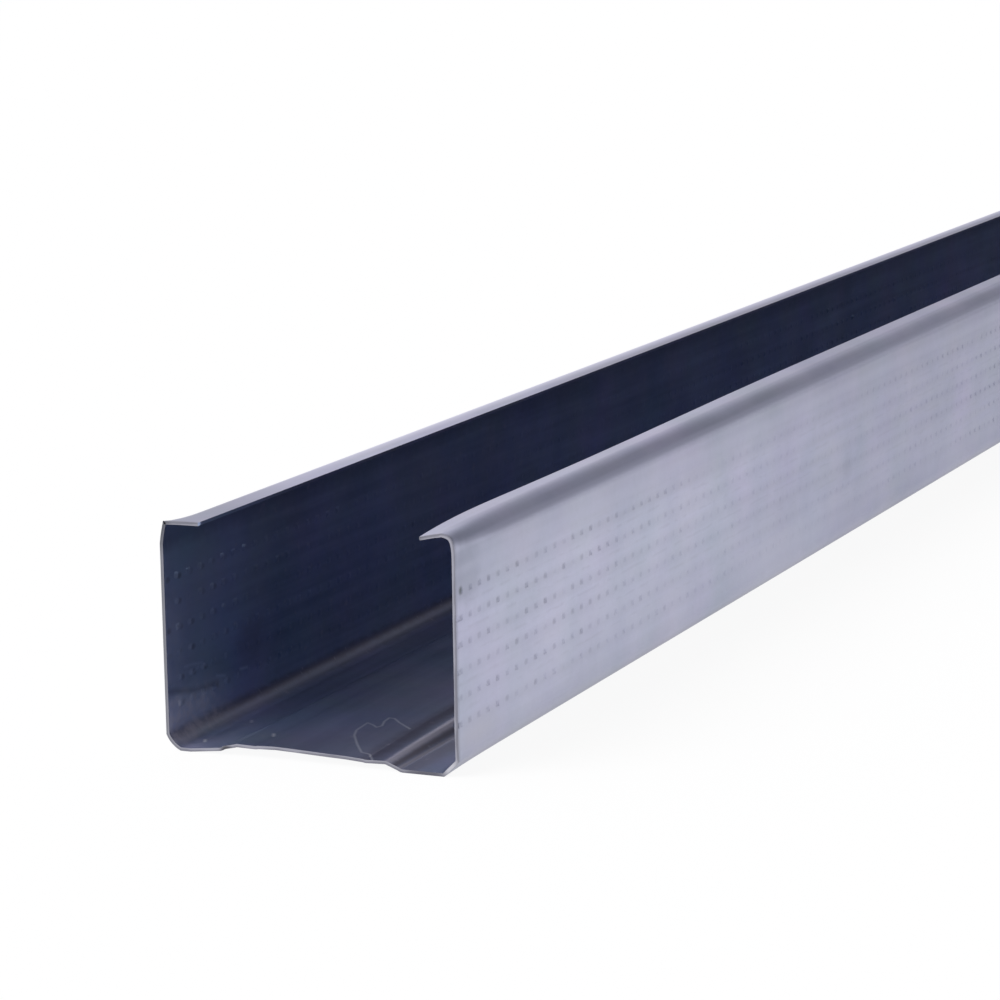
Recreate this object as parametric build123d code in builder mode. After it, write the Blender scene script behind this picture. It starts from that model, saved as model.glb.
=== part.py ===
"""Drywall metal stud: one length of roll-formed galvanised C-section.

The stud lies on its web with the open side up. Its length runs along Y, +X points to the wide flange,
and the origin is at mid-length, midway between the flanges, on the plane that the web's two feet rest on.
All sizes are in millimetres.
"""

import os

from build123d import *

# Stock
stud_length = 2400.0
sheet_thickness = 0.5

# Section, measured over the outside of the sheet
web_width = 48.0
wide_flange_height = 36.0
narrow_flange_height = 35.0
wide_lip_reach = 6.3
narrow_lip_reach = 6.5

# Raised panel of the web, between two feet. A low ridge runs along each edge of the panel.
foot_width = 9.4
step_run = 2.4
panel_rise = 1.4
ridge_rise = 1.65
ridge_run = 3.4

# Inside radius of each kind of bend
web_bend_radius = 3.5
lip_bend_radius = 3.0
step_bend_radius = 0.8
panel_bend_radius = 6.0


def outer_radius(inside_radius):
    """Radius of a bend on the outside of the sheet."""
    return inside_radius + sheet_thickness


# Outside of the sheet, from the narrow flange's lip round to the wide flange's lip
narrow_side = -web_width / 2
wide_side = web_width / 2
ridge_inset = foot_width + step_run
panel_inset = ridge_inset + ridge_run
outside_corners = [
    (narrow_side + narrow_lip_reach, narrow_flange_height),
    (narrow_side, narrow_flange_height),
    (narrow_side, 0),
    (narrow_side + foot_width, 0),
    (narrow_side + ridge_inset, ridge_rise),
    (narrow_side + panel_inset, panel_rise),
    (wide_side - panel_inset, panel_rise),
    (wide_side - ridge_inset, ridge_rise),
    (wide_side - foot_width, 0),
    (wide_side, 0),
    (wide_side, wide_flange_height),
    (wide_side - wide_lip_reach, wide_flange_height),
]

# One radius for each corner between the two lip edges. A ridge is bent the other way from the rest,
# so there the outside of the sheet is on the inside of the bend.
half_web_radii = [
    outer_radius(web_bend_radius),
    outer_radius(step_bend_radius),
    step_bend_radius,
    outer_radius(panel_bend_radius),
]
outside_radii = [
    outer_radius(lip_bend_radius),
    *half_web_radii,
    *reversed(half_web_radii),
    outer_radius(lip_bend_radius),
]

with BuildPart() as stud:
    with BuildSketch(Plane.XZ) as section:
        with BuildLine() as sheet_line:
            FilletPolyline(outside_corners, radius=outside_radii)
            # The sheet's thickness is taken up on the inside, so that the sizes stay outside sizes.
            offset(amount=sheet_thickness, side=Side.LEFT)
        make_face()
    extrude(amount=stud_length / 2, both=True)

stud.part.label = "stud"

os.makedirs("parts", exist_ok=True)
export_step(stud.part, "parts/stud.step")

sheet_area = section.sketch.area
print(f"section {sheet_area:.2f} mm2, developed width {sheet_area / sheet_thickness:.1f} mm")
print(f"volume {stud.part.volume:.0f} mm3, box {stud.part.bounding_box().size}")
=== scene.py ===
# %% [markdown]
# # A galvanised drywall stud
#
# A drywall stud is one strip of galvanised steel, half a millimetre thick, which a row of rollers bends
# into a C. This lesson builds it the same way: a line for the section, a long extrude for the strip,
# small dents for the knurling, and a Solidify modifier for the thickness of the steel. The finish then
# comes from shader nodes, and a plain studio lights it.
#
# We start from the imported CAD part, because its box is the stud's true size. Every length below is in
# metres, so a value named mm keeps the numbers readable.

# %% Load the frame
import math

import bmesh
import bpy
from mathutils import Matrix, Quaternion, Vector, noise


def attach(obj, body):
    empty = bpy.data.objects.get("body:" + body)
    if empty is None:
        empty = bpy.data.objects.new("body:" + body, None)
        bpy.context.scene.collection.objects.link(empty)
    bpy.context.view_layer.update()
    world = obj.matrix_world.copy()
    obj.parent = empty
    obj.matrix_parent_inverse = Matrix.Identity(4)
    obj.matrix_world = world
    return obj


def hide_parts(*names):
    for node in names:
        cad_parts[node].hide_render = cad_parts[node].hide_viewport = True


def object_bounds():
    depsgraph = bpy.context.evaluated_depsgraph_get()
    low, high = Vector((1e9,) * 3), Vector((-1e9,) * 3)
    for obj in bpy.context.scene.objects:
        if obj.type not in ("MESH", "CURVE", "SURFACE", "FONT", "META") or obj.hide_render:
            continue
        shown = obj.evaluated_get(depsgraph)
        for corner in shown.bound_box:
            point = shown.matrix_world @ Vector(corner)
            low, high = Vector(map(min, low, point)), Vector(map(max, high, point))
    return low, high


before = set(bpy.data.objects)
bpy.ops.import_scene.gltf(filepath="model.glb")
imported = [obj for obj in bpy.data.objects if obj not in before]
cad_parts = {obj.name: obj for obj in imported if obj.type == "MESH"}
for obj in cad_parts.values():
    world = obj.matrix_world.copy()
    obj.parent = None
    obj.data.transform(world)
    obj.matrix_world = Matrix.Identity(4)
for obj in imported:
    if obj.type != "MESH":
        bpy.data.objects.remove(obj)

mm = 0.001
cad_low, cad_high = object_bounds()
half_web = cad_high.x
wide_flange_height = cad_high.z
near_end = cad_low.y
stud_length = cad_high.y - near_end
print(f"stud {2 * half_web / mm:.0f} x {stud_length / mm:.0f} x {wide_flange_height / mm:.0f} mm")

# %% [markdown]
# ## The section line
#
# Seen from its end, the stud is a line with twelve corners: a lip, a flange, a foot, a raised panel, and
# the same again on the other side. We could draw each bend as an arc by hand. It is quicker to place the
# sharp corners and let the vertex bevel round them, since that is also how a press brake works: the
# corner is given, and the tool's radius does the rest. The line follows the outside of the steel.

# %% Place the corners of the section
sheet_thickness = 0.5 * mm
narrow_flange_height = 35.0 * mm
wide_lip_reach = 6.3 * mm
narrow_lip_reach = 6.5 * mm
foot_inset = 9.4 * mm
ridge_inset = 11.8 * mm
panel_inset = 15.2 * mm
ridge_rise = 1.65 * mm
panel_rise = 1.4 * mm

lip_bend = 3.5 * mm
web_bend = 4.0 * mm
foot_bend = 1.3 * mm
ridge_bend = 0.8 * mm
panel_bend = 6.5 * mm

# Each corner is x, z and the outside radius of its bend. The two lip edges have none.
section_corners = [
    (-half_web + narrow_lip_reach, narrow_flange_height, 0.0),
    (-half_web, narrow_flange_height, lip_bend),
    (-half_web, 0.0, web_bend),
    (-half_web + foot_inset, 0.0, foot_bend),
    (-half_web + ridge_inset, ridge_rise, ridge_bend),
    (-half_web + panel_inset, panel_rise, panel_bend),
    (half_web - panel_inset, panel_rise, panel_bend),
    (half_web - ridge_inset, ridge_rise, ridge_bend),
    (half_web - foot_inset, 0.0, foot_bend),
    (half_web, 0.0, web_bend),
    (half_web, wide_flange_height, lip_bend),
    (half_web - wide_lip_reach, wide_flange_height, 0.0),
]

sheet = bmesh.new()
corner_verts = [sheet.verts.new((x, near_end, z)) for x, z, radius in section_corners]
for here, after in zip(corner_verts, corner_verts[1:]):
    sheet.edges.new((here, after))
print(f"section line with {len(corner_verts)} corners")

# %% Round every corner
degrees_per_facet = 7.5


def round_corner(vert, radius):
    """Turn a sharp corner of the line into an arc of this radius."""
    arms = [edge.other_vert(vert).co - vert.co for edge in vert.link_edges]
    turn = math.pi - arms[0].angle(arms[1])
    bmesh.ops.bevel(
        sheet,
        geom=[vert],
        offset=radius * math.tan(turn / 2),
        offset_type="OFFSET",
        segments=max(2, round(math.degrees(turn) / degrees_per_facet)),
        profile=0.5,
        affect="VERTICES",
        material=-1,
    )


for vert, (x, z, radius) in zip(corner_verts, section_corners):
    if radius > 0.0:
        round_corner(vert, radius)

# The panel gets a few points of its own, so that the sheared end can bow it later.
panel_points = 5
low_edges = [edge for edge in sheet.edges if edge.verts[0].co.z < 2 * panel_rise]
panel_line = max(low_edges, key=lambda edge: edge.calc_length())
bmesh.ops.subdivide_edges(sheet, edges=[panel_line], cuts=panel_points)
print(f"rounded section line with {len(sheet.edges)} edges")

# %% [markdown]
# ## Rows for the knurling
#
# Each flange has six rows of small dents, pressed in by a toothed wheel so that a screw's point doesn't
# wander. A dent needs an edge above it and an edge below it, so the straight part of each flange gets
# twelve more points before the line is extruded. Cutting a line is far cheaper than cutting a surface.

# %% Cut the flange lines at the rows
row_count = 6
row_spacing = 3.90 * mm
dent_height = 0.95 * mm
dent_length = 1.2 * mm
row_middle = {"wide": 17.55 * mm, "narrow": 16.2 * mm}
flange_side = {"wide": 1.0, "narrow": -1.0}
tiny = 0.001 * mm


def row_lines(flange):
    """Heights of the lower and upper edge of every row of dents, from the bottom up."""
    lines = []
    for row in range(row_count):
        height = row_middle[flange] + (row - (row_count - 1) / 2) * row_spacing
        lines += [height - dent_height / 2, height + dent_height / 2]
    return lines


def on_flange(element, flange):
    """True where every vertex lies on the outer plane of this flange."""
    return all(abs(vert.co.x - flange_side[flange] * half_web) < tiny for vert in element.verts)


for flange in flange_side:
    straight = [edge for edge in sheet.edges if on_flange(edge, flange)]
    lines = row_lines(flange)
    cut = bmesh.ops.subdivide_edges(sheet, edges=straight, cuts=len(lines))
    new_verts = [item for item in cut["geom_inner"] if isinstance(item, bmesh.types.BMVert)]
    new_verts.sort(key=lambda vert: vert.co.z)
    for vert, height in zip(new_verts, lines):
        vert.co.z = height
    print(f"{flange} flange: {len(new_verts)} points from {lines[0] / mm:.1f} to {lines[-1] / mm:.1f} mm")

# %% [markdown]
# ## The strip
#
# One extrude along Y turns the line into the whole strip. Only the flanges need cuts along their length,
# one pair for each dent, so we subdivide those long edges alone and leave the web, the bends and the lips
# as faces that run from end to end. Subdivide makes even steps. Moving each ring of points to its own
# place afterwards gives a short step for a dent and a longer one for the plain steel between two dents.
# Near the cut, the columns of the wide flange crowd together a little.

# %% Extrude the strip
extruded = bmesh.ops.extrude_edge_only(sheet, edges=sheet.edges[:])
far_verts = [item for item in extruded["geom"] if isinstance(item, bmesh.types.BMVert)]
bmesh.ops.translate(sheet, vec=(0.0, stud_length, 0.0), verts=far_verts)

bmesh.ops.recalc_face_normals(sheet, faces=sheet.faces[:])
outer_face = next(face for face in sheet.faces if on_flange(face, "wide"))
if outer_face.normal.x < 0.0:
    bmesh.ops.reverse_faces(sheet, faces=sheet.faces[:])
print(f"strip with {len(sheet.faces)} long faces")

# %% Cut the columns of the knurling
column_pitch = 3.64 * mm
column_slant = {"wide": 0.05, "narrow": 0.0}
first_column = {"wide": 0.0, "narrow": 3.7 * mm}
crowd_shift = {"wide": 1.5 * mm, "narrow": 0.0}
crowd_reach = 22 * mm
plain_end = 5.0 * mm
column_count = int((stud_length - plain_end) / column_pitch)


def in_rows(element, flange):
    """True where every vertex lies on this flange, between its lowest and its highest row line."""
    if not on_flange(element, flange):
        return False
    lines = row_lines(flange)
    heights = [vert.co.z for vert in element.verts]
    return min(heights) > lines[0] - tiny and max(heights) < lines[-1] + tiny


def crowded(flange, place):
    """Place of a column from the near end. On the wide flange the last few crowd together."""
    return place + crowd_shift[flange] * max(0.0, 1.0 - place / crowd_reach) ** 2


def column_lines(flange):
    """Places of the near and far edge of every column of dents, along Y."""
    lines = []
    for column in range(column_count):
        place = near_end + crowded(flange, first_column[flange] + column * column_pitch)
        lines += [place - dent_length / 2, place + dent_length / 2]
    return lines


for flange in flange_side:
    row_edges = [edge for edge in sheet.edges if in_rows(edge, flange)]
    long_edges = [edge for edge in row_edges if edge.calc_length() > stud_length / 2]
    lines = column_lines(flange)
    cut = bmesh.ops.subdivide_edges(sheet, edges=long_edges, cuts=len(lines))
    step = stud_length / (len(lines) + 1)
    for item in cut["geom_inner"]:
        if isinstance(item, bmesh.types.BMVert):
            slant = column_slant[flange] * (item.co.z - row_middle[flange])
            item.co.y = lines[round((item.co.y - near_end) / step) - 1] + slant
    print(f"{flange} flange: {column_count} columns, {len(sheet.faces)} faces in all")

# %% [markdown]
# ## The dents
#
# A knurling tooth is a blunt four-sided point. Poke puts a vertex in the middle of a face and fans four
# triangles round it, so pushing that vertex in gives exactly the tooth's print. With about eight thousand
# dents, that keeps the mesh light. The rim is marked sharp, so the steel around a dent stays flat in the
# shading. The wheel runs out of true, so a slow wave makes the dents deeper and shallower in turn.

# %% Press the dents
deepest_dent = 0.20 * mm
shallowest_dent = 0.08 * mm
dent_wave = 340 * mm
dent_unevenness = 0.9
uneven_size = 5 * mm
largest_dent = 1.05 * dent_height * dent_length


def dent_depth(place):
    """Depth of one dent. The wheel presses harder and softer in turn, hardest at the sheared end."""
    share = 0.5 - 0.5 * math.cos(2.0 * math.pi * (place.y - near_end) / dent_wave)
    even_depth = deepest_dent + (shallowest_dent - deepest_dent) * share
    return even_depth * (1.0 + dent_unevenness * noise.noise(place / uneven_size))


for flange in flange_side:
    row_faces = [face for face in sheet.faces if in_rows(face, flange)]
    dent_faces = [face for face in row_faces if face.calc_area() < largest_dent]
    for face in dent_faces:
        for edge in face.edges:
            edge.smooth = False
    poked = bmesh.ops.poke(sheet, faces=dent_faces)
    for vert in poked["verts"]:
        vert.co.x -= flange_side[flange] * dent_depth(vert.co)
    print(f"{flange} flange: {len(dent_faces)} dents")

# %% [markdown]
# ## The sheared end
#
# The near end was cut with a shear, and thin steel doesn't like that: the lips' bends are squeezed, the
# web's bends are creased, the wide lip is pulled down, a foot is lifted and the ridges are crushed. A
# lattice could do this by hand, but short functions can be read and tuned. The long faces first need some
# rings near the end, cut by a bisect plane. A fade then lets each change die away smoothly.

# %% Cut rings near the end
ring_places = [place * mm for place in (1.5, 3.5, 6, 9, 13, 18, 25, 32, 40, 50, 65, 85, 105, 130, 160)]


def plain_geometry():
    """The faces outside the knurled rows, with their edges and vertices."""
    faces = [face for face in sheet.faces if not any(in_rows(face, flange) for flange in flange_side)]
    faces = [face for face in faces if len(face.verts) > 3]
    edges = {edge for face in faces for edge in face.edges}
    verts = {vert for face in faces for vert in face.verts}
    return [*verts, *edges, *faces]


for place in ring_places:
    bmesh.ops.bisect_plane(
        sheet,
        geom=plain_geometry(),
        dist=tiny,
        plane_co=(0.0, near_end + place, 0.0),
        plane_no=(0.0, 1.0, 0.0),
    )
print(f"{len(ring_places)} rings, {len(sheet.faces)} faces")

# %% Helpers for the sheared end
end_verts = [vert for vert in sheet.verts if vert.co.y < near_end + ring_places[-1]]


def fade(vert, reach):
    """1 at the sheared end, falling smoothly to 0 at this distance from it."""
    return max(0.0, 1.0 - (vert.co.y - near_end) / reach) ** 2


def bend_end(change, **settings):
    """Apply a change to every vertex near the end, and print how far it moved the steel at most."""
    moves = []
    for vert in end_verts:
        before = vert.co.copy()
        change(vert, **settings)
        moves.append((vert.co - before).length)
    print(f"{change.__name__}: at most {max(moves) / mm:.2f} mm")


print(f"{len(end_verts)} points near the end")

# %% Squeeze the lips' bends


def squeeze_lip_bend(vert, side, corner, strength, reach):
    """Pull the points of a lip's bend towards its sharp corner, the middle of the bend most."""
    beyond = vert.co.x * side - (half_web - lip_bend)
    above = vert.co.z - (corner[1] - lip_bend)
    if beyond > tiny and above > tiny:
        middle = math.sin(2.0 * math.atan2(above, beyond))
        target = Vector((corner[0], vert.co.y, corner[1]))
        vert.co = vert.co.lerp(target, strength * middle * fade(vert, reach))


narrow_corner = (-half_web + 0.65 * mm, narrow_flange_height)
wide_corner = (half_web, wide_flange_height)
bend_end(squeeze_lip_bend, side=-1, corner=narrow_corner, strength=0.95, reach=8 * mm)
bend_end(squeeze_lip_bend, side=1, corner=wide_corner, strength=0.37, reach=20 * mm)

# %% Crease the web's bends


def crease_bend(vert, side, crease, push, reach):
    """Give the arc of a web bend two creases with a flat between them, and push its middle outwards."""
    beyond = vert.co.x * side - (half_web - web_bend)
    below = web_bend - vert.co.z
    if beyond > tiny and below > tiny:
        angle = math.atan2(beyond, below)
        flat_angle = round(angle / (math.pi / 4)) * math.pi / 4
        growth = crease * (1.0 / math.cos(angle - flat_angle) - 1.0) + push * math.sin(2.0 * angle)
        growth *= fade(vert, reach)
        vert.co.x = side * min(half_web, half_web - web_bend + beyond * (1.0 + growth))
        vert.co.z = max(0.0, web_bend - below * (1.0 + growth))


bend_end(crease_bend, side=-1, crease=0.35, push=0.08, reach=15 * mm)
bend_end(crease_bend, side=1, crease=1.0, push=0.0, reach=20 * mm)

# %% Let the wide lip droop
droop_start = half_web - 2.2 * mm
lip_sink = 0.12 * mm
edge_sink = 0.8 * mm
edge_pull = 1.1 * mm
sag_depth = 1.05 * mm
sag_middle = 58 * mm
sag_reach = 100 * mm


def droop_wide_lip(vert, sink_reach, pull_reach):
    """The wide lip sinks towards its free edge, and the edge is pulled back."""
    past_bend = (droop_start - vert.co.x) / wide_lip_reach
    if vert.co.z > wide_flange_height - lip_bend and vert.co.x > 0.0 and past_bend > 0.0:
        from_sag = (vert.co.y - near_end - sag_middle) / sag_reach
        sag = math.cos(from_sag * math.pi / 2) ** 2 if abs(from_sag) < 1.0 else 0.0
        vert.co.z -= (lip_sink + edge_sink * past_bend) * fade(vert, sink_reach)
        vert.co.z -= sag_depth * past_bend ** 2 * sag
        vert.co.x += edge_pull * past_bend * fade(vert, pull_reach)


bend_end(droop_wide_lip, sink_reach=30 * mm, pull_reach=20 * mm)

# %% Lift the narrow foot and bow the panel
foot_top = 0.8 * mm
foot_lift = 0.6 * mm
panel_top = 2.0 * mm
panel_sink = 0.06 * mm
panel_tilt = 0.22 * mm
tilt_span = 18 * mm
ridge_crush = 0.42 * mm
crush_middle = 11.0 * mm
crush_reach = 3.0 * mm


def lift_narrow_foot(vert, reach):
    """The narrow foot rises towards the step."""
    share = (vert.co.x + half_web - web_bend) / (foot_inset - web_bend)
    if 0.0 < share < 1.2 and vert.co.z < foot_top:
        vert.co.z += foot_lift * min(1.0, share) * fade(vert, reach)


def bow_panel(vert, reach):
    """The raised panel tilts down to the wide side, and the shear has crushed its ridges."""
    if abs(vert.co.x) < half_web - foot_inset and foot_top < vert.co.z < panel_top:
        tilt = math.sin(math.pi * vert.co.x / tilt_span)
        crush = max(0.0, 1.0 - ((abs(vert.co.x) - crush_middle) / crush_reach) ** 2)
        vert.co.z -= (panel_sink + panel_tilt * tilt + ridge_crush * crush) * fade(vert, reach)


bend_end(lift_narrow_foot, reach=40 * mm)
bend_end(bow_panel, reach=35 * mm)

# %% [markdown]
# ## Thickness
#
# So far the strip has no thickness. A Solidify modifier is the natural tool for sheet metal: it keeps the
# outside where it is, adds the inside half a millimetre away, and closes the rim. Every dent on the
# outside becomes a bump on the inside, as it does in the works. The inside and the rim get materials of
# their own. We then apply the modifier. Its new points come after the old ones, so each point can store
# whether it lies outside or inside, which the cut edge uses later.

# %% Make the strip an object
for edge in sheet.edges:
    if edge.is_boundary:
        edge.smooth = False
for face in sheet.faces:
    face.smooth = True

sheet_mesh = bpy.data.meshes.new("sheet")
sheet.to_mesh(sheet_mesh)
sheet.free()
stud_sheet = bpy.data.objects.new("stud_sheet", sheet_mesh)
bpy.context.scene.collection.objects.link(stud_sheet)
for slot_name in ("outside", "inside", "cut edge"):
    sheet_mesh.materials.append(bpy.data.materials.new(slot_name))
print(f"strip with {len(sheet_mesh.polygons)} faces and {len(sheet_mesh.materials)} materials")

# %% Give it thickness
inside_slot = 1
cut_edge_slot = 2
thickness = stud_sheet.modifiers.new("steel", "SOLIDIFY")
thickness.thickness = sheet_thickness
thickness.offset = -1.0
thickness.use_even_offset = True
thickness.use_rim = True
thickness.material_offset = inside_slot
thickness.material_offset_rim = cut_edge_slot

depsgraph = bpy.context.evaluated_depsgraph_get()
stud_mesh = bpy.data.meshes.new_from_object(stud_sheet.evaluated_get(depsgraph))
stud_mesh.name = "stud_sheet"
stud_sheet.modifiers.clear()
stud_sheet.data = stud_mesh
print(f"{len(sheet_mesh.vertices)} points outside, {len(stud_mesh.vertices)} in all")

# %% Tell inside from outside, and trim the rim
outside_count = len(sheet_mesh.vertices)
is_inside = [float(index >= outside_count) for index in range(len(stud_mesh.vertices))]
inwards = stud_mesh.attributes.new("inwards", "FLOAT", "POINT")
inwards.data.foreach_set("value", is_inside)

# The shear cut square, so every point of the near rim goes back to the plane of the cut.
for index in range(outside_count):
    if stud_mesh.vertices[index].co.y < near_end + tiny:
        stud_mesh.vertices[index + outside_count].co.y = near_end
bpy.data.meshes.remove(sheet_mesh)

# The long edges of the lips were slit at the mill, and are as dull as the inside.
rim = [face for face in stud_mesh.polygons if face.material_index == cut_edge_slot]
slit_faces = [face for face in rim if abs(face.normal.y) < 0.5]
for face in slit_faces:
    face.material_index = inside_slot
print(f"rim of {len(rim)} faces, {len(slit_faces)} of them slit at the mill")

# %% [markdown]
# ## Flat shading where the steel is flat
#
# Smooth shading leans every normal towards its neighbours, which makes flat steel look pillowed next to a
# bend. A Weighted Normal modifier lets the large faces decide, so flats stay flat and bends stay round.

# %% Keep the flat faces flat
flat_faces = stud_sheet.modifiers.new("flat_faces", "WEIGHTED_NORMAL")
flat_faces.keep_sharp = True
flat_faces.weight = 100

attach(stud_sheet, "root")
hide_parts("stud")

stud_mesh.calc_loop_triangles()
print(f"stud sheet: {len(stud_mesh.vertices)} vertices, {len(stud_mesh.loop_triangles)} triangles")

# %% [markdown]
# ## The finish
#
# Galvanised steel is a cool grey metal with a satin sheen. It is never one flat colour: the rollers leave
# faint lines along the strip, and the zinc has soft clouds. An image could be wrapped round the stud, but
# nodes need no image and stay sharp at any length. A few helpers keep the node code short.

# %% Helpers for nodes


def add(tree, kind, settings, inputs):
    """Add a node. An input that is given as another node's output is linked, and any other is set."""
    node = tree.nodes.new(kind)
    for name, value in settings.items():
        setattr(node, name, value)
    for name, value in inputs.items():
        if isinstance(value, bpy.types.NodeSocket):
            tree.links.new(value, node.inputs[name])
        else:
            node.inputs[name].default_value = value
    return node


def mix_colours(tree, share, first, second, blend="MIX"):
    """Mix two colours, and return the output."""
    settings = {"data_type": "RGBA", "blend_type": blend}
    node = add(tree, "ShaderNodeMix", settings, {0: share, 6: first, 7: second})
    return node.outputs[2]


def calculate(tree, operation, first, second):
    """A math node on two values, and its output."""
    return add(tree, "ShaderNodeMath", {"operation": operation}, {0: first, 1: second}).outputs[0]


print("helpers for nodes defined")

# %% More helpers for nodes


def multiply(tree, first, second):
    """The product of two values."""
    return calculate(tree, "MULTIPLY", first, second)


def vectors(tree, operation, first, second):
    """A vector math node on two vectors."""
    return add(tree, "ShaderNodeVectorMath", {"operation": operation}, {0: first, 1: second})


def rescale(tree, value, low, high, new_low, new_high, curve="SMOOTHSTEP"):
    """Map a value from one range to another, along a smooth curve unless told otherwise."""
    inputs = {0: value, 1: low, 2: high, 3: new_low, 4: new_high}
    return add(tree, "ShaderNodeMapRange", {"interpolation_type": curve}, inputs).outputs[0]


def stretch(tree, place, scale):
    """The place, scaled along each axis."""
    return add(tree, "ShaderNodeMapping", {}, {"Vector": place, "Scale": scale}).outputs[0]


def add_noise(tree, place, scale, detail):
    """A noise texture with this many features to the metre."""
    return add(tree, "ShaderNodeTexNoise", {}, {"Vector": place, "Scale": scale, "Detail": detail})


def weigh(tree, value, gain):
    """How far a noise value lies from its middle, times a gain."""
    return multiply(tree, calculate(tree, "SUBTRACT", value, 0.5), gain)


def new_group(name, inputs, outputs):
    """Start a node group with these named sockets, and return its tree, input node and output node."""
    tree = bpy.data.node_groups.new(name, "ShaderNodeTree")
    for socket_name, socket_type in inputs.items():
        tree.interface.new_socket(socket_name, in_out="INPUT", socket_type=socket_type)
    for socket_name, socket_type in outputs.items():
        tree.interface.new_socket(socket_name, in_out="OUTPUT", socket_type=socket_type)
    return tree, tree.nodes.new("NodeGroupInput"), tree.nodes.new("NodeGroupOutput")


float_socket = "NodeSocketFloat"
vector_socket = "NodeSocketVector"
print("more helpers for nodes defined")

# %% [markdown]
# ### Roll lines and zinc clouds
#
# Both faces of the sheet share this group. It turns a place on the stud into a tone, a drifting tint and
# some dust. A noise that is stretched along the strip gives the roll lines, a coarse one the clouds and a
# fine one the specks. End is 1 at the sheared end and fades to 0. The outside uses it for a pool of light
# that is painted into its colour, and for painted shade at the foot.

# %% Group for the zinc surface
line_gain = 1.4
cloud_gain = 1.3
speck_gain = 0.3
line_stretch = (1.0, 0.03, 1.0)
lines_to_metre = 700.0
clouds_to_metre = 60.0
specks_to_metre = 900.0
grit_to_metre = 650.0
# Between these two places the outside's painted pool of light fades out.
light_pool_from = near_end + 40 * mm
light_pool_to = near_end + 230 * mm
surface_numbers = ("Tone", "Lines", "End", "Along", "Up", "Across", "Dust")
tree, group_in, group_out = new_group(
    "zinc_surface",
    {"Place": vector_socket},
    {"Tint": "NodeSocketColor", **{name: float_socket for name in surface_numbers}},
)
place = group_in.outputs["Place"]
lines = add_noise(tree, stretch(tree, place, line_stretch), lines_to_metre, 3.0).outputs[0]
clouds = add_noise(tree, place, clouds_to_metre, 4.0)
specks = add_noise(tree, place, specks_to_metre, 2.0).outputs[0]
grit = add_noise(tree, place, grit_to_metre, 1.0).outputs[0]
split = add(tree, "ShaderNodeSeparateXYZ", {}, {"Vector": place})
tone = calculate(tree, "ADD", weigh(tree, lines, line_gain), 0.5)
tone = calculate(tree, "ADD", tone, weigh(tree, clouds.outputs[0], cloud_gain))
tone = calculate(tree, "ADD", tone, weigh(tree, specks, speck_gain))
surface_values = {
    "Tone": tone,
    "Tint": clouds.outputs["Color"],
    "Lines": lines,
    "End": rescale(tree, split.outputs["Y"], light_pool_from, light_pool_to, 1.0, 0.0),
    "Along": split.outputs["Y"],
    "Up": split.outputs["Z"],
    "Across": split.outputs["X"],
    "Dust": rescale(tree, grit, 0.66, 0.78, 0.0, 1.0),
}
for name, value in surface_values.items():
    tree.links.new(value, group_out.inputs[name])
zinc_surface = tree
print(f"zinc surface group: {len(tree.nodes)} nodes")

# %% [markdown]
# ### Tracks of the knurling wheel
#
# Besides the dents, a darker track runs along each row, a little below its middle, and broken dashes run
# midway between the rows. The dents mask paints shade into each dent on the outside, and a highlight and
# a shadow beside each bump on the inside. Rather than draw each dent, a fraction folds the flange into one
# cell. The group measures how far a place is from the middle of its row and its column, from the same
# values that shaped the mesh, so colour and shape stay together.

# %% Group for the tracks: place in the pattern


def by_flange(tree, side, pair):
    """The flange's own value of a pair, where side is 1 on the wide flange and -1 on the narrow one."""
    half_sum = (pair["wide"] + pair["narrow"]) / 2
    half_difference = (pair["wide"] - pair["narrow"]) / 2
    return calculate(tree, "ADD", multiply(tree, side, half_difference), half_sum)


def from_middle(tree, value, step):
    """Distance from the middle of the step that a value lies in, when its whole line is cut into steps."""
    steps = calculate(tree, "DIVIDE", value, step)
    share = calculate(tree, "FRACT", steps, 0.0)
    off_middle = calculate(tree, "ABSOLUTE", calculate(tree, "SUBTRACT", share, 0.5), 0.0)
    return multiply(tree, off_middle, step)


def squared_share(tree, value, whole):
    """The square of a value's share of a whole."""
    return calculate(tree, "POWER", calculate(tree, "DIVIDE", value, whole), 2.0)


tree, group_in, group_out = new_group(
    "knurl_tracks",
    {"Place": vector_socket},
    {"Tracks": float_socket, "Dents": float_socket, "Dashes": float_socket},
)
place = group_in.outputs["Place"]
split = add(tree, "ShaderNodeSeparateXYZ", {}, {"Vector": place})
side = calculate(tree, "SIGN", split.outputs["X"], 0.0)
up = calculate(tree, "SUBTRACT", split.outputs["Z"], by_flange(tree, side, row_middle))
lean = multiply(tree, up, by_flange(tree, side, column_slant))
along = calculate(tree, "SUBTRACT", calculate(tree, "SUBTRACT", split.outputs["Y"], lean), near_end)

# The crowding is undone from the crowded place, which takes a slightly larger share.
crowd_back = 1.13
to_end = rescale(tree, along, crowd_reach, 0.0, 0.0, 1.0, "LINEAR")
crowd = multiply(tree, calculate(tree, "POWER", to_end, 2.0), by_flange(tree, side, crowd_shift))
along = calculate(tree, "SUBTRACT", along, multiply(tree, crowd, crowd_back))
along = calculate(tree, "SUBTRACT", along, by_flange(tree, side, first_column))
along = calculate(tree, "ADD", along, 1.5 * column_pitch)
print(f"rows every {row_spacing / mm:.2f} mm, columns every {column_pitch / mm:.2f} mm")

# %% Group for the tracks: masks
track_drop = 0.4 * mm
track_reach = 1.5 * mm
dent_shading_height = 0.5 * mm
dent_shading_length = 0.75 * mm
dash_reach = 0.45 * mm
dash_stretch = (1.0, 0.25, 1.0)
knurled_height = row_count * row_spacing / 2

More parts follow.
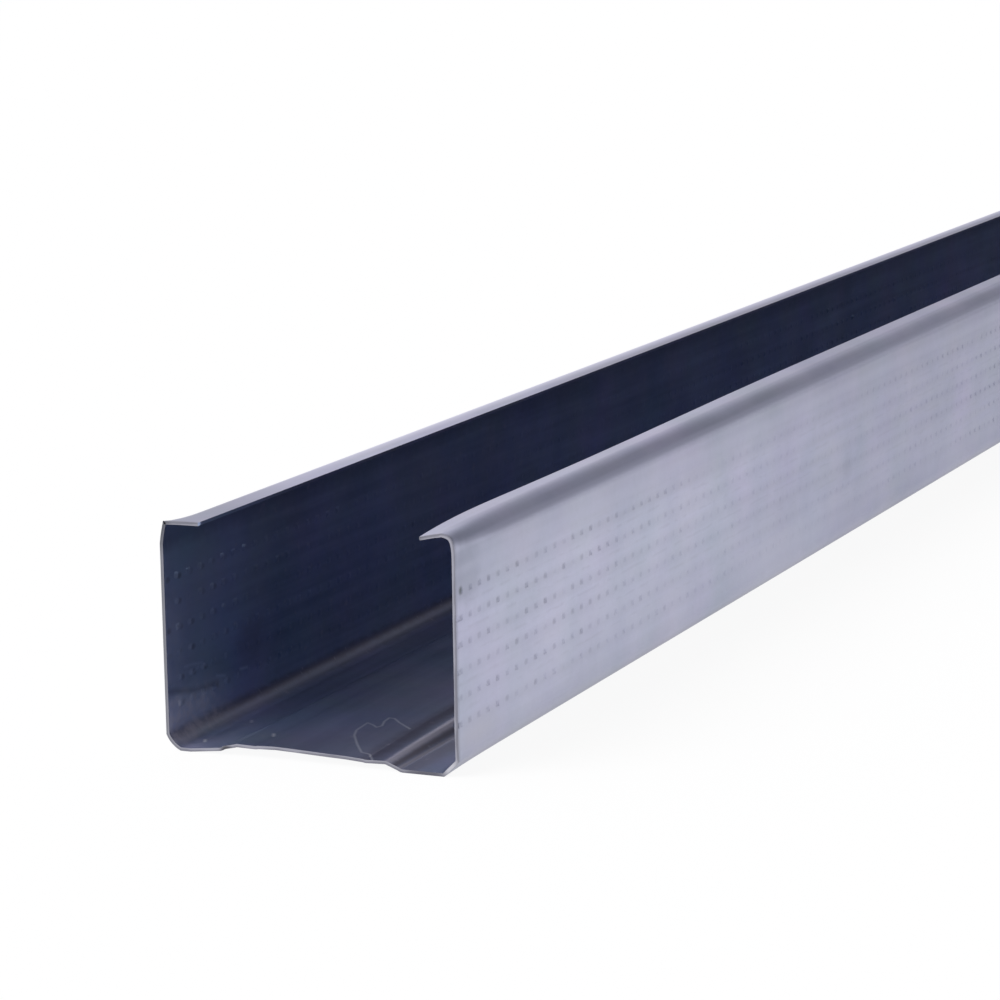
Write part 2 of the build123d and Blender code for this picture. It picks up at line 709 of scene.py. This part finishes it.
from_row = from_middle(tree, up, row_spacing)
from_track = from_middle(tree, calculate(tree, "ADD", up, track_drop), row_spacing)
from_column = from_middle(tree, along, column_pitch)
height = calculate(tree, "ABSOLUTE", up, 0.0)
knurled = rescale(tree, height, knurled_height - 0.3 * mm, knurled_height, 1.0, 0.0)
tracks = rescale(tree, from_track, 0.1 * mm, track_reach, 1.0, 0.0)

# These ovals place the painted shade, highlight and shadow of each dent.
dent_shading_rows = squared_share(tree, from_row, dent_shading_height)
dent_shading_columns = squared_share(tree, from_column, dent_shading_length)
oval = calculate(tree, "ADD", dent_shading_rows, dent_shading_columns)
uneven = rescale(tree, add_noise(tree, place, 260.0, 1.0).outputs[0], 0.32, 0.68, 0.0, 1.0)
dents = multiply(tree, rescale(tree, oval, 0.0, 1.6, 1.0, 0.0), uneven)

dash_noise = add_noise(tree, stretch(tree, place, dash_stretch), 1000.0, 1.0).outputs[0]
broken = rescale(tree, dash_noise, 0.42, 0.62, 0.0, 1.0)
dashes = rescale(tree, from_row, row_spacing / 2 - dash_reach, row_spacing / 2, 0.0, 1.0)
dashes = multiply(tree, dashes, broken)
for name, mask in {"Tracks": tracks, "Dents": dents, "Dashes": dashes}.items():
    tree.links.new(multiply(tree, mask, knurled), group_out.inputs[name])
knurl_tracks = tree
print(f"knurl tracks group: {len(tree.nodes)} nodes")

# %% [markdown]
# ### Lines and spots
#
# Scratches, stains and dust are single marks, each at its own place. Two small groups draw them all. The
# line group fades with the distance from the nearest point of a straight run. The spot group measures the
# distance from a centre in sizes of the spot, and a noise frays the edge, as with real dirt.

# %% Group for a thin line
tree, group_in, group_out = new_group(
    "thin_line",
    {"Place": vector_socket, "From": vector_socket, "To": vector_socket, "Width": float_socket},
    {"Mask": float_socket},
)
run = vectors(tree, "SUBTRACT", group_in.outputs["To"], group_in.outputs["From"]).outputs[0]
offset = vectors(tree, "SUBTRACT", group_in.outputs["Place"], group_in.outputs["From"]).outputs[0]
done = vectors(tree, "DOT_PRODUCT", offset, run).outputs["Value"]
whole = vectors(tree, "DOT_PRODUCT", run, run).outputs["Value"]
clamped = {"operation": "DIVIDE", "use_clamp": True}
share = add(tree, "ShaderNodeMath", clamped, {0: done, 1: whole}).outputs[0]
nearest = add(tree, "ShaderNodeVectorMath", {"operation": "SCALE"}, {0: run, "Scale": share}).outputs[0]
gap = vectors(tree, "DISTANCE", offset, nearest).outputs["Value"]
mask = rescale(tree, gap, 0.0, group_in.outputs["Width"], 1.0, 0.0, "LINEAR")
tree.links.new(mask, group_out.inputs["Mask"])
thin_line = tree
print(f"thin line group: {len(tree.nodes)} nodes")

# %% Group for a soft spot
fray = 0.5
tree, group_in, group_out = new_group(
    "soft_spot",
    {"Place": vector_socket, "Centre": vector_socket, "Size": vector_socket},
    {"Mask": float_socket},
)
place = group_in.outputs["Place"]
ripple = add_noise(tree, place, 500.0, 2.0).outputs[0]
offset = vectors(tree, "SUBTRACT", place, group_in.outputs["Centre"]).outputs[0]
offset = vectors(tree, "DIVIDE", offset, group_in.outputs["Size"]).outputs[0]
reach = vectors(tree, "LENGTH", offset, (0.0, 0.0, 0.0)).outputs["Value"]
reach = calculate(tree, "ADD", reach, weigh(tree, ripple, fray))
tree.links.new(rescale(tree, reach, 0.15, 1.3, 1.0, 0.0), group_out.inputs["Mask"])
soft_spot = tree
print(f"soft spot group: {len(tree.nodes)} nodes")

# %% [markdown]
# ## The outside
#
# The outside is the bright face. Two tones mix along the strip, so that it is palest at the sheared end, a
# pool of light that is painted into the colour. The lips and the wide lip's bend keep nearly one tone, so
# there the mix is held back. On the bend this is painted light, which lifts the dark band that the bend
# reflects far from the end. One flat colour would be simpler, but it would look like plastic.

# %% Helpers for a material
half_length = stud_length / 2 / mm
endless = 10 * half_length


def start_material(name):
    """Open a material, and return its tree, its Principled shader and the object coordinates."""
    material = bpy.data.materials[name]
    material.use_nodes = True
    tree = material.node_tree
    return tree, tree.nodes["Principled BSDF"], add(tree, "ShaderNodeTexCoord", {}, {}).outputs["Object"]


def on_stud(point):
    """A point in metres, from one in mm with Y counted from the near end."""
    return (point[0] * mm, near_end + point[1] * mm, point[2] * mm)


def ramp(tree, surface, axis, start, stop, first, last):
    """Go smoothly from first to last between two places in mm. Along is counted from the near end."""
    origin = near_end if axis == "Along" else 0.0
    return rescale(tree, surface.outputs[axis], origin + start * mm, origin + stop * mm, first, last)


print(f"long strips reach {endless / 1000:.0f} m, past both ends of the stud")

# %% Helpers for spots and shades


def spot_mask(tree, place, name, centre, size):
    """Mask of one soft spot, with a centre and a size in mm."""
    radii = tuple(value * mm for value in size)
    settings = {"node_tree": soft_spot, "label": name}
    inputs = {"Place": place, "Centre": on_stud(centre), "Size": radii}
    return add(tree, "ShaderNodeGroup", settings, inputs).outputs[0]


def add_spots(tree, place, colour, spots):
    """Lay soft spots over a colour. Each has a name, a centre, a size, a tint and a strength."""
    for name, centre, size, tint, strength in spots:
        share = multiply(tree, spot_mask(tree, place, name, centre, size), strength)
        colour = mix_colours(tree, share, colour, (*tint, 1.0))
    return colour


def shade(tree, colour, mask, darkest):
    """Darken a colour where a mask is 1, down to this share of it, and return the new colour."""
    dark = mix_colours(tree, 1.0, colour, (darkest, darkest, darkest, 1.0), "MULTIPLY")
    return mix_colours(tree, mask, colour, dark)


def tint_clouds(tree, colour, surface, strength):
    """Let the zinc's clouds drift in hue as well as in tone, and return the new colour."""
    return mix_colours(tree, strength, colour, surface.outputs["Tint"], "OVERLAY")


print("helpers for spots and shades defined")

# %% Outside: base tones
tree, shader, place = start_material("outside")
surface = add(tree, "ShaderNodeGroup", {"node_tree": zinc_surface}, {"Place": place})
# The near tone is a painted pool of light at the sheared end.
far_tone = mix_colours(tree, surface.outputs["Tone"], (0.32, 0.33, 0.45, 1.0), (0.42, 0.43, 0.58, 1.0))
lit_near_tone = mix_colours(tree, surface.outputs["Tone"], (0.44, 0.45, 0.58, 1.0), (0.56, 0.575, 0.73, 1.0))

on_lip = ramp(tree, surface, "Up", 34.6, 35.0, 0.0, 1.0)
even_end = multiply(tree, calculate(tree, "SUBTRACT", 0.4, surface.outputs["End"]), 0.48)
light_pool_share = calculate(tree, "ADD", surface.outputs["End"], multiply(tree, on_lip, even_end))

# On the wide lip's bend the share stays high far from the end: painted light on the dark band it reflects.
on_wide_side = calculate(tree, "GREATER_THAN", surface.outputs["Across"], 0.0)
above_start = ramp(tree, surface, "Up", 33.0, 33.9, 0.0, 1.0)
below_top = ramp(tree, surface, "Up", 35.8, 36.0, 1.0, 0.0)
in_bend = multiply(tree, multiply(tree, above_start, below_top), on_wide_side)
bend_light_share = rescale(tree, surface.outputs["End"], 0.0, 1.0, 1.0, 0.72)
bend_lightening = multiply(tree, in_bend, calculate(tree, "SUBTRACT", bend_light_share, light_pool_share))
colour = mix_colours(tree, calculate(tree, "ADD", light_pool_share, bend_lightening), far_tone, lit_near_tone)
colour = tint_clouds(tree, colour, surface, 0.07)
print(f"outside: {len(tree.nodes)} nodes for the base tones")

# %% Outside: marks of the wheel
knurl = add(tree, "ShaderNodeGroup", {"node_tree": knurl_tracks}, {"Place": place})
colour = shade(tree, colour, knurl.outputs["Tracks"], 0.94)
colour = shade(tree, colour, knurl.outputs["Dashes"], 0.93)
# Each dent gets painted shade, which fades away from the sheared end.
dent_shade_end = ramp(tree, surface, "Along", 20, 110, 1.0, 0.15)
colour = shade(tree, colour, multiply(tree, knurl.outputs["Dents"], dent_shade_end), 0.81)
print("outside: tracks, dashes and painted dent shade laid on")

# %% Outside: bends and edges
# Painted shade darkens the flange near the wide lip's bend, and a painted highlight runs where it starts.
rising = ramp(tree, surface, "Up", 23, 33, 0.0, 1.0)
bend_shade_mask = multiply(tree, rising, ramp(tree, surface, "Up", 32.6, 33.9, 1.0, 0.0))
colour = shade(tree, colour, bend_shade_mask, 0.84)
bend_start_highlight = ramp(tree, surface, "Up", 32.9, 33.7, 0.0, 0.75)
bend_start_highlight = multiply(tree, bend_start_highlight, ramp(tree, surface, "Up", 34.1, 34.7, 1.0, 0.0))
bend_start_highlight = multiply(tree, bend_start_highlight, on_wide_side)
colour = mix_colours(tree, bend_start_highlight, colour, (0.57, 0.585, 0.74, 1.0))

# Painted shade darkens the foot of the flange near the end, and its lowest edge all along.
near_foot_shade = multiply(tree, ramp(tree, surface, "Up", 1.5, 6, 1.0, 0.0), surface.outputs["End"])
colour = shade(tree, colour, near_foot_shade, 0.86)
colour = shade(tree, colour, ramp(tree, surface, "Up", 1.0, 2.6, 1.0, 0.0), 0.8)

# A thin line of painted shade runs along the very end, at the sheared edge.
colour = shade(tree, colour, ramp(tree, surface, "Along", 0.0, 0.9, 1.0, 0.0), 0.7)
print("outside: bends, foot and sheared edge shaded")

# %% Outside: the narrow lip
# This lip gets a painted highlight along its bend and painted shade along its free edge, both fading out
# towards the sheared end, where painted shade darkens the whole lip.
under_lip = calculate(tree, "MAXIMUM", ramp(tree, surface, "Up", 33.5, 34.3, 1.0, 0.0), on_wide_side)
on_narrow_lip = calculate(tree, "SUBTRACT", 1.0, under_lip)
lip_highlight = ramp(tree, surface, "Across", -21.6, -18.6, 0.9, 0.0)
lip_highlight = multiply(tree, lip_highlight, ramp(tree, surface, "Along", 15, 80, 0.0, 1.0))
lip_highlight = multiply(tree, lip_highlight, on_narrow_lip)
colour = mix_colours(tree, lip_highlight, colour, (0.72, 0.725, 0.86, 1.0))
free_edge_shade = ramp(tree, surface, "Across", -20.0, -17.8, 0.0, 1.0)
free_edge_shade = multiply(tree, free_edge_shade, ramp(tree, surface, "Along", 90, 200, 0.0, 1.0))
colour = shade(tree, colour, multiply(tree, free_edge_shade, on_narrow_lip), 0.72)
lip_end_shade = multiply(tree, ramp(tree, surface, "Along", 12, 38, 1.0, 0.0), on_narrow_lip)
colour = shade(tree, colour, lip_end_shade, 0.76)
print("outside: narrow lip shaded")

# %% Outside: stains
outside_spots = [
    ("stain at the shear", (24, 3.4, 30), (3, 6, 5.6), (0.27, 0.29, 0.38), 0.75),
    ("paler part of it", (24, 4.4, 29.8), (3, 3, 3.6), (0.40, 0.42, 0.53), 0.45),
    ("nick at the shear", (24, 1.8, 27.4), (0.6, 0.7, 0.7), (0.07, 0.09, 0.10), 0.85),
    ("far stain", (24, 181, 14.5), (3, 3, 2.6), (0.27, 0.28, 0.38), 0.35),
    ("grey foot", (24, 7, 5.5), (3, 9, 3), (0.46, 0.46, 0.50), 0.4),
    ("pale foot", (24, 140, 5), (3, 24, 5), (0.52, 0.53, 0.66), 0.5),
    ("strip above the rows", (24, half_length, 30.3), (3, endless, 1.2), (0.50, 0.51, 0.66), 0.2),
    # The strip by the low rows is painted light: it lifts the lower flange, which reflects the floor's
    # shadow.
    ("strip by the low rows", (24, half_length, 9), (3, endless, 6), (0.50, 0.51, 0.66), 0.22),
]
colour = add_spots(tree, place, colour, outside_spots)
satin = rescale(tree, surface.outputs["Lines"], 0.3, 0.7, 0.36, 0.42)
tree.links.new(colour, shader.inputs["Base Color"])
tree.links.new(satin, shader.inputs["Roughness"])
shader.inputs["Metallic"].default_value = 1.0
print(f"outside: {len(outside_spots)} spots, {len(tree.nodes)} nodes in all")

# %% [markdown]
# ## The inside
#
# The inside is darker and bluer than the outside; the darkness is painted shade for the deep channel.
# It is paler at the open end, where light coming in is painted into the colour. The knurling shows
# as small bumps, which catch little light in a dark channel. So each gets a painted highlight on its
# near side, and the same mask, moved further in, gives it a painted shadow on its far side.

# %% Inside: base tones
tree, shader, place = start_material("inside")
surface = add(tree, "ShaderNodeGroup", {"node_tree": zinc_surface}, {"Place": place})
tone = surface.outputs["Tone"]
# Both tones are painted darker than the outside's, as shade for the deep channel.
shaded_web_tone = mix_colours(tree, tone, (0.152, 0.172, 0.282, 1.0), (0.245, 0.267, 0.413, 1.0))
shaded_wall_tone = mix_colours(tree, tone, (0.150, 0.198, 0.318, 1.0), (0.243, 0.305, 0.462, 1.0))
colour = mix_colours(tree, ramp(tree, surface, "Across", -22.8, -21.0, 1.0, 0.0), shaded_web_tone, shaded_wall_tone)
# Painted light makes the open end paler.
mouth = ramp(tree, surface, "Along", 0.0, 45, 0.7, 0.0)
mouth_light = multiply(tree, mouth, ramp(tree, surface, "Across", -22, 2, 1.0, 0.1))
colour = mix_colours(tree, mouth_light, colour, (0.40, 0.49, 0.69, 1.0))
colour = tint_clouds(tree, colour, surface, 0.22)
print(f"inside: {len(tree.nodes)} nodes for the base tones")

# %% Inside: bumps of the knurling
shadow_shift = (0.0, 0.95 * mm, -0.2 * mm)
bump_end = ramp(tree, surface, "Along", 7, 28, 1.0, 0.1)
knurl = add(tree, "ShaderNodeGroup", {"node_tree": knurl_tracks}, {"Place": place})
# Each bump gets a painted highlight on its near side and a painted shadow on its far side.
bumps = multiply(tree, knurl.outputs["Dents"], bump_end)
colour = mix_colours(tree, multiply(tree, bumps, 0.45), colour, (0.60, 0.70, 0.85, 1.0))
behind = vectors(tree, "SUBTRACT", place, shadow_shift).outputs[0]
shadows = add(tree, "ShaderNodeGroup", {"node_tree": knurl_tracks}, {"Place": behind}).outputs["Dents"]
colour = shade(tree, colour, multiply(tree, shadows, bump_end), 0.6)
print("inside: bumps lit and shaded")

# %% [markdown]
# Spots that are drawn out far past both ends darken or lighten each bend and step of the inside: painted
# shade and painted highlights where the bends and steps reflect dark and light. A painted shadow lies on
# the wall under the narrow lip.

# %% Inside: strips along the bends and steps
# Most of these spots are painted shade and highlights; the glint is a painted highlight too.
inside_spots = [
    ("smudge on the wall", (-23.5, 27, 11.2), (3, 5.5, 4), (0.13, 0.15, 0.21), 0.4),
    ("shadow under the lip", (-23.5, half_length, 33), (2, endless, 3.5), (0.08, 0.10, 0.17), 0.5),
    ("top of the bend", (-23, half_length, 2.2), (1, endless, 1), (0.05, 0.05, 0.085), 0.8),
    ("middle of the bend", (-22.3, half_length, 1.3), (1.5, endless, 1.5), (0.108, 0.098, 0.132), 0.6),
    ("narrow step", (-12, half_length, 1.9), (1.8, endless, 1.2), (0.12, 0.12, 0.19), 0.1),
    ("glint", (-13, 9.8, 1.6), (0.5, 3.6, 0.8), (0.36, 0.46, 0.62), 0.7),
    ("shaded panel", (6.5, half_length, 1.9), (9, endless, 4), (0.13, 0.13, 0.21), 0.4),
    ("pale patch", (3, 2, 1.9), (7, 5, 3), (0.31, 0.33, 0.48), 0.25),
    ("flank of the ridge", (9.6, half_length, 2.1), (2.2, endless, 1.2), (0.06, 0.05, 0.08), 0.75),
    ("ridge highlight", (12.8, half_length, 1.9), (0.9, endless, 1.2), (0.42, 0.40, 0.47), 0.85),
    ("wide step", (13.65, half_length, 1), (0.75, endless, 0.9), (0.06, 0.05, 0.07), 0.8),
    ("foot highlight", (14.45, half_length, 0.5), (0.35, endless, 0.4), (0.46, 0.44, 0.50), 0.85),
    ("wide foot", (16, half_length, 0.5), (2.4, endless, 2), (0.15, 0.145, 0.20), 0.6),
]
colour = add_spots(tree, place, colour, inside_spots)
print(f"inside: {len(inside_spots)} strips and spots")

# %% [markdown]
# Dust has blown in at the open end, and lies thickest in the corner by the narrow flange. It isn't metal
# and it scatters light, so the mask that greys the colour also lowers Metallic and raises Roughness. The
# other marks are the rim of a dried drop of oil, a dark line where the dust ends, scratches and grains.
# The panel isn't level at the end, so the rim and the grains are drawn on a place without its height.

# %% Inside: dust
dust_spots = [
    ("dusty wall", (-23.5, 4, 4.4), (3.5, 17, 5.2), 0.95),
    ("dusty corner", (-20.5, 2, 0.8), (5, 6, 2), 0.45),
    ("dusty foot", (-19, 10, 0.6), (5, 22, 2), 0.38),
    ("dusty rim", (-23.5, 0, 15), (4, 9, 15), 0.35),
]
dust = multiply(tree, surface.outputs["Dust"], 0.3)
for name, centre, size, strength in dust_spots:
    spot = multiply(tree, spot_mask(tree, place, name, centre, size), strength)
    dust = calculate(tree, "MAXIMUM", dust, spot)
patchy = rescale(tree, add_noise(tree, place, 800.0, 2.0).outputs[0], 0.35, 0.65, 0.65, 1.1)
dust = multiply(tree, dust, patchy)
colour = mix_colours(tree, multiply(tree, dust, 0.65), colour, (0.46, 0.44, 0.52, 1.0))
print(f"inside: {len(dust_spots)} patches of dust")

# %% Inside: dried drop of oil


def line_mask(tree, place, points, width):
    """Mask of a thin line through these points, in mm."""
    mask = 0.0
    for here, after in zip(points, points[1:]):
        ends = {"From": on_stud(here), "To": on_stud(after)}
        inputs = {"Place": place, "Width": width * mm, **ends}
        line = add(tree, "ShaderNodeGroup", {"node_tree": thin_line}, inputs)
        mask = calculate(tree, "MAXIMUM", mask, line.outputs[0])
    return mask


# Each point of the rim is x and the distance from the end, in mm.
drop_rim = [
    (10.1, 0.1), (8.5, 2.6), (7.0, 2.9), (4.6, 6.4), (2.0, 10.8), (1.0, 13.6), (0.7, 18.1), (2.1, 17.2),
    (3.1, 16.2), (3.5, 17.3), (2.7, 19.8), (2.5, 22.0), (3.4, 21.9), (5.3, 19.8), (8.2, 17.2),
]
flat_place = stretch(tree, place, (1.0, 1.0, 0.0))
film = line_mask(tree, flat_place, [(x, y, 0.0) for x, y in drop_rim], 0.3)
colour = mix_colours(tree, multiply(tree, film, 0.58), colour, (0.62, 0.64, 0.72, 1.0))
print(f"inside: rim of the drop with {len(drop_rim)} points")

# %% Inside: edge of the dust, scratches and grains
wall = (sheet_thickness - half_web) / mm
dust_edge = [(wall, 0.5, 8.8), (wall, 8.1, 7.3), (wall, 15.5, 6.7)]
colour = shade(tree, colour, line_mask(tree, place, dust_edge, 0.8), 0.68)
scratches = [
    [(wall, 5.3, 11.5), (wall, 7.9, 11.4), (wall, 10.6, 11.0), (wall, 12.0, 10.4)],
    [(wall, 7.9, 10.0), (wall, 9.6, 10.6)],
    [(wall, 15.3, 7.9), (wall, 18.0, 7.3)],
    [(wall, 23.0, 7.2), (wall, 25.3, 7.0)],
]
for points in scratches:
    scratch = multiply(tree, line_mask(tree, place, points, 0.4), 0.5)
    colour = mix_colours(tree, scratch, colour, (0.50, 0.60, 0.78, 1.0))

# Each grain is x, the distance from the end, and a strength.
grains = [(-20.1, 4.8, 1.0), (-18.9, 17.6, 0.5), (-9.4, 6.6, 0.8)]
for x, y, strength in grains:
    grain = line_mask(tree, flat_place, [(x + 0.3, y - 0.6, 0.0), (x - 0.3, y + 0.6, 0.0)], 0.45)
    colour = mix_colours(tree, multiply(tree, grain, strength), colour, (0.95, 0.95, 1.0, 1.0))
print(f"inside: {len(scratches)} scratches and {len(grains)} grains")

# %% Inside: shader
dull = calculate(tree, "MAXIMUM", dust, multiply(tree, mouth, 0.2))
satin = rescale(tree, surface.outputs["Lines"], 0.3, 0.7, 0.37, 0.39)
dusty_roughness = calculate(tree, "ADD", satin, multiply(tree, dust, 0.2))
tree.links.new(colour, shader.inputs["Base Color"])
tree.links.new(rescale(tree, dull, 0.0, 1.0, 0.95, 0.72), shader.inputs["Metallic"])
tree.links.new(dusty_roughness, shader.inputs["Roughness"])
print(f"inside: {len(tree.nodes)} nodes in all")

# %% [markdown]
# ## The cut edge
#
# A shear cuts half of the sheet cleanly and tears the rest, so the rim has a bright and a dull half. The
# attribute from the thickness step tells them apart, and a noise lets the border between them wander.

# %% Material for the cut edge
tear_gain = 2.2
edge_spots = [
    ("narrow flange", (-24, 0, 17), (4, 3, 22), (0.22, 0.225, 0.25), 0.8),
    ("narrow top", (-24, 0, 34), (2, 3, 4), (0.10, 0.105, 0.12), 0.8),
    ("wide foot", (19, 0, 0.3), (4.5, 3, 2.5), (0.12, 0.12, 0.15), 0.85),
    ("bright chip", (22.7, 0, 1.3), (1.6, 3, 1.6), (0.60, 0.60, 0.65), 0.9),
    ("dark burr", (-14, 0, 0.9), (1.1, 3, 0.8), (0.05, 0.05, 0.06), 0.9),
]
tree, shader, place = start_material("cut edge")
depth = add(tree, "ShaderNodeAttribute", {"attribute_name": "inwards"}, {}).outputs["Fac"]
tear = add_noise(tree, place, 150.0, 2.0).outputs[0]
torn_depth = calculate(tree, "ADD", depth, weigh(tree, tear, tear_gain))
bright = rescale(tree, torn_depth, 0.2, 0.8, 0.0, 1.0)
colour = mix_colours(tree, bright, (0.24, 0.24, 0.285, 1.0), (0.38, 0.38, 0.44, 1.0))
colour = add_spots(tree, place, colour, edge_spots)
tree.links.new(colour, shader.inputs["Base Color"])
shader.inputs["Metallic"].default_value = 1.0
shader.inputs["Roughness"].default_value = 0.45
print(f"cut edge: {len(edge_spots)} spots, {len(tree.nodes)} nodes in all")

# %% [markdown]
# ## The studio
#
# Metal looks like whatever stands around it, so the studio matters as much as the finish. A white floor
# fills the outer flange with light. It lies a hair below the stud, so that the two never share a plane.
# Its matt paint keeps a soft shadow, and it glows in view and in reflections, so that it reads as white.

# %% Floor
floor_reach = 60.0
floor_drop = 0.02 * mm
floor_mesh = bpy.data.meshes.new("floor")
ground = bmesh.new()
bmesh.ops.create_grid(ground, x_segments=1, y_segments=1, size=floor_reach)
bmesh.ops.translate(ground, vec=(0.0, 0.0, -floor_drop), verts=ground.verts[:])
ground.to_mesh(floor_mesh)
ground.free()
floor = bpy.data.objects.new("floor", floor_mesh)
bpy.context.scene.collection.objects.link(floor)
print(f"floor {2 * floor_reach:.0f} m wide")

# %% Floor paint
glow_in_view = 0.92
glow_in_reflections = 0.8
white = (1.0, 1.0, 1.0, 1.0)
floor_paint = bpy.data.materials.new("floor_paint")
floor_paint.use_nodes = True
tree = floor_paint.node_tree
tree.nodes.remove(tree.nodes["Principled BSDF"])
rays = add(tree, "ShaderNodeLightPath", {}, {})
seen = calculate(tree, "MAXIMUM", rays.outputs["Is Camera Ray"], rays.outputs["Is Transmission Ray"])
mirrored = multiply(tree, rays.outputs["Is Glossy Ray"], glow_in_reflections)
glow_share = calculate(tree, "MAXIMUM", multiply(tree, seen, glow_in_view), mirrored)
matt = add(tree, "ShaderNodeBsdfDiffuse", {}, {"Color": (0.9, 0.9, 0.9, 1.0)})
glow = add(tree, "ShaderNodeEmission", {}, {"Color": white})
both = add(tree, "ShaderNodeMixShader", {}, {0: glow_share, 1: matt.outputs[0], 2: glow.outputs[0]})
tree.links.new(both.outputs[0], tree.nodes["Material Output"].inputs["Surface"])
floor_mesh.materials.append(floor_paint)
print(f"floor glows {glow_in_view:.0%} in view, {glow_in_reflections:.0%} in reflections")

# %% [markdown]
# A window on the left side lights the lips, and the room on the right stays dim, which lets the inside of
# the channel go deep and dark. An area lamp could be the window, but the metal would mirror its edges, so
# the world's colour turns from dim to bright across X. One soft lamp gives the light a direction.

# %% Window light and room
room_side = 0.1
window_side = -0.52
world = bpy.data.worlds.new("studio")
bpy.context.scene.world = world
world.use_nodes = True
tree = world.node_tree
background = tree.nodes["Background"]
direction = add(tree, "ShaderNodeTexCoord", {}, {}).outputs["Generated"]
sideways = add(tree, "ShaderNodeSeparateXYZ", {}, {"Vector": direction}).outputs["X"]
window = rescale(tree, sideways, room_side, window_side, 0.0, 1.0)
room = mix_colours(tree, window, (0.34, 0.34, 0.36, 1.0), (0.88, 0.86, 0.90, 1.0))
camera_ray = add(tree, "ShaderNodeLightPath", {}, {}).outputs["Is Camera Ray"]
tree.links.new(mix_colours(tree, camera_ray, room, white), background.inputs["Color"])
print(f"studio world: {len(tree.nodes)} nodes")

# %% Soft lamp
lamp_data = bpy.data.lights.new("soft_lamp", "SUN")
lamp_data.energy = 2.6
lamp_data.angle = math.radians(40.0)
lamp_direction = Vector((0.45, 0.62, -0.76))
soft_lamp = bpy.data.objects.new("soft_lamp", lamp_data)
soft_lamp.rotation_mode = "QUATERNION"
soft_lamp.rotation_quaternion = lamp_direction.to_track_quat("-Z", "Y")
bpy.context.scene.collection.objects.link(soft_lamp)
print(f"soft lamp of strength {lamp_data.energy:.1f}")

# %% [markdown]
# ## The camera
#
# The camera stands in front of the sheared end, to the right and a little above, with a long lens. Two
# angles and a distance from the point that it aims at are easier to tune than three coordinates.

# %% Camera
camera_azimuth = math.radians(23.718)
camera_elevation = math.radians(10.689)
camera_roll = math.radians(-0.969)
camera_distance = 493.0 * mm
aim = Vector((31.2 * mm, near_end, 41.36 * mm))

camera_data = bpy.data.cameras.new("camera")
camera_data.sensor_width = 36.0
camera_data.lens = 125.48
camera_data.clip_start = 0.01
camera_data.clip_end = 200.0
camera = bpy.data.objects.new("camera", camera_data)
bpy.context.scene.collection.objects.link(camera)
level = math.cos(camera_elevation)
back = Vector(
    (
        math.sin(camera_azimuth) * level,
        -math.cos(camera_azimuth) * level,
        math.sin(camera_elevation),
    )
)
camera.rotation_mode = "QUATERNION"
camera.location = aim + back * camera_distance
roll_turn = Quaternion((0.0, 0.0, 1.0), camera_roll)
camera.rotation_quaternion = (-back).to_track_quat("-Z", "Y") @ roll_turn
bpy.context.scene.camera = camera
bpy.context.scene.view_settings.view_transform = "Standard"
print(f"camera {camera_distance / mm:.0f} mm from its aim, lens {camera_data.lens:.0f} mm")
